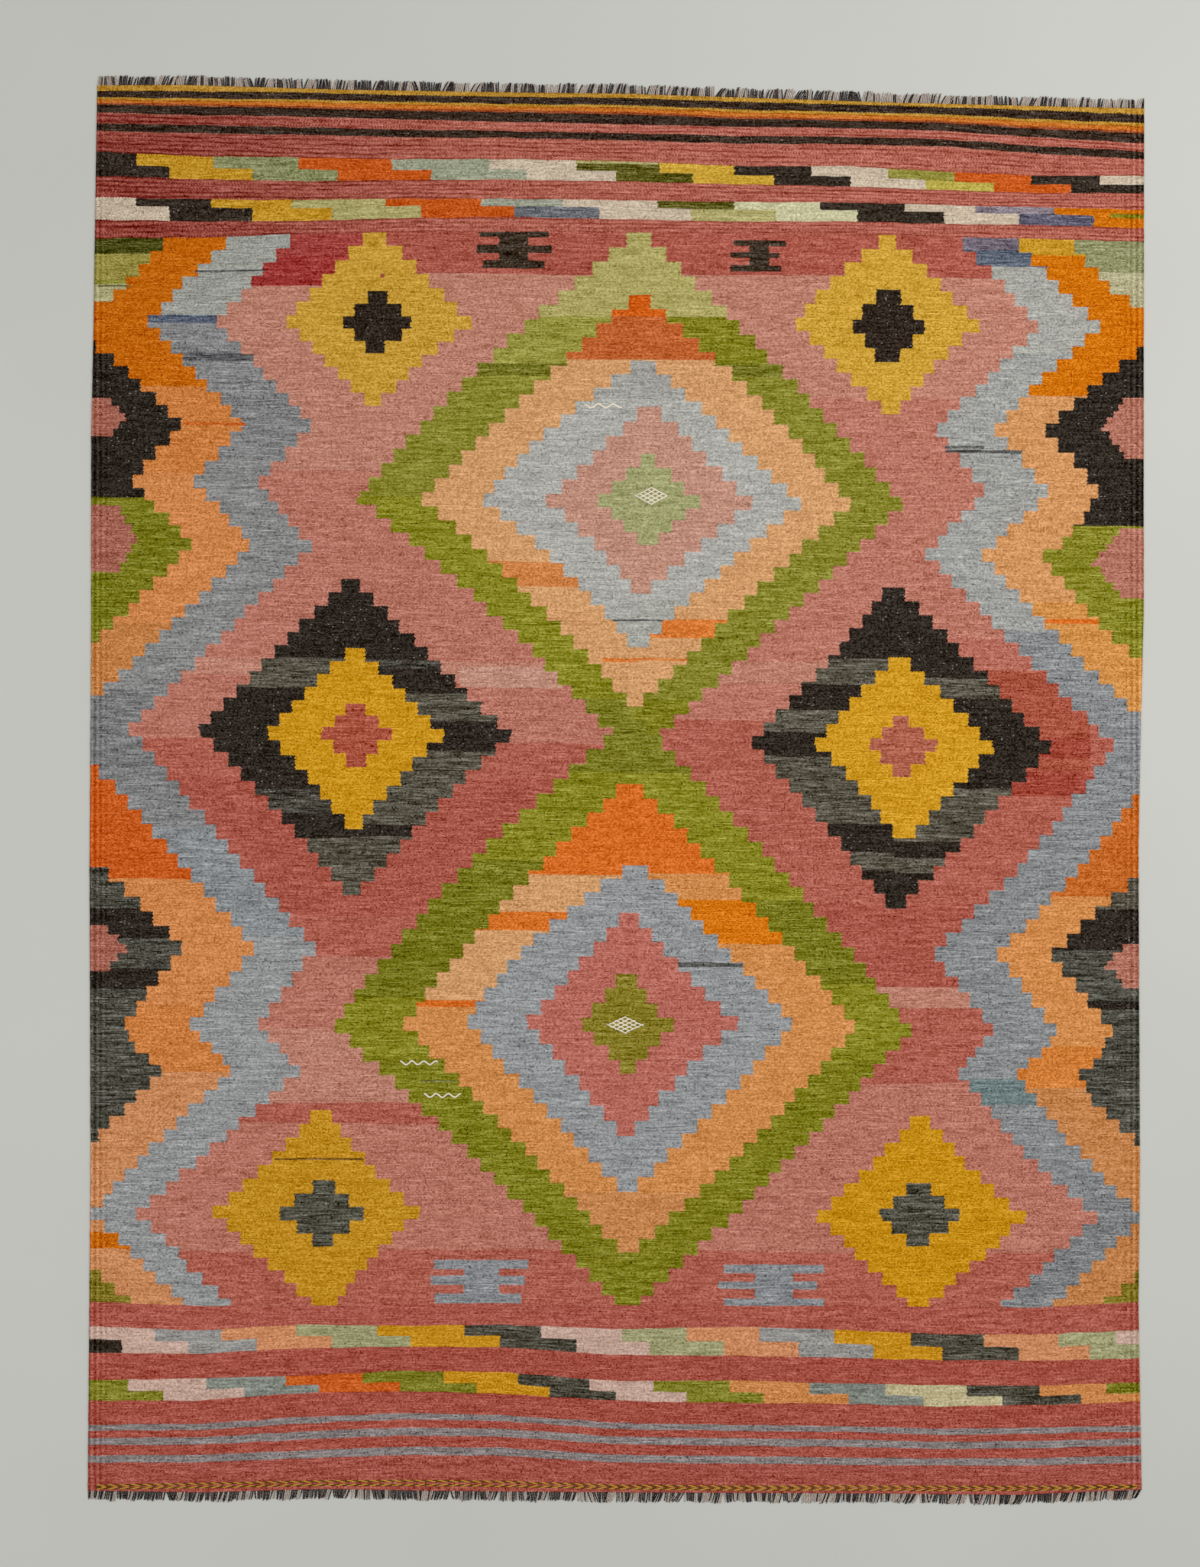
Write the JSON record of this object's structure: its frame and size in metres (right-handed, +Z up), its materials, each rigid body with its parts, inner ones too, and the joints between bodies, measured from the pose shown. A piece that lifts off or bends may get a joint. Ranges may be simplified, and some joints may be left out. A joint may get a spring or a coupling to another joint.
{
  "type": "kilim rug",
  "caption": "Flat-woven wool kilim rug with a stepped diamond pattern and short cut warp fringes, lying flat on the floor.",
  "frame": {"origin": "on the floor, below the middle of the rug's box, fringes included", "axes": "+Z up off the floor, +Y up the rug's length towards the striped head end, +X across the rug"},
  "size_m": [2.008, 2.7202, 0.0053],
  "materials": {
    "kilim_wool": "flat-woven wool, matt",
    "fringe_yarn": "plied wool warp ends, dark and cream marled, matt"
  },
  "bodies": {
    "root": {"kilim": "kilim_wool", "fringe_top": "fringe_yarn", "fringe_bottom": "fringe_yarn"}
  },
  "joints": []
}
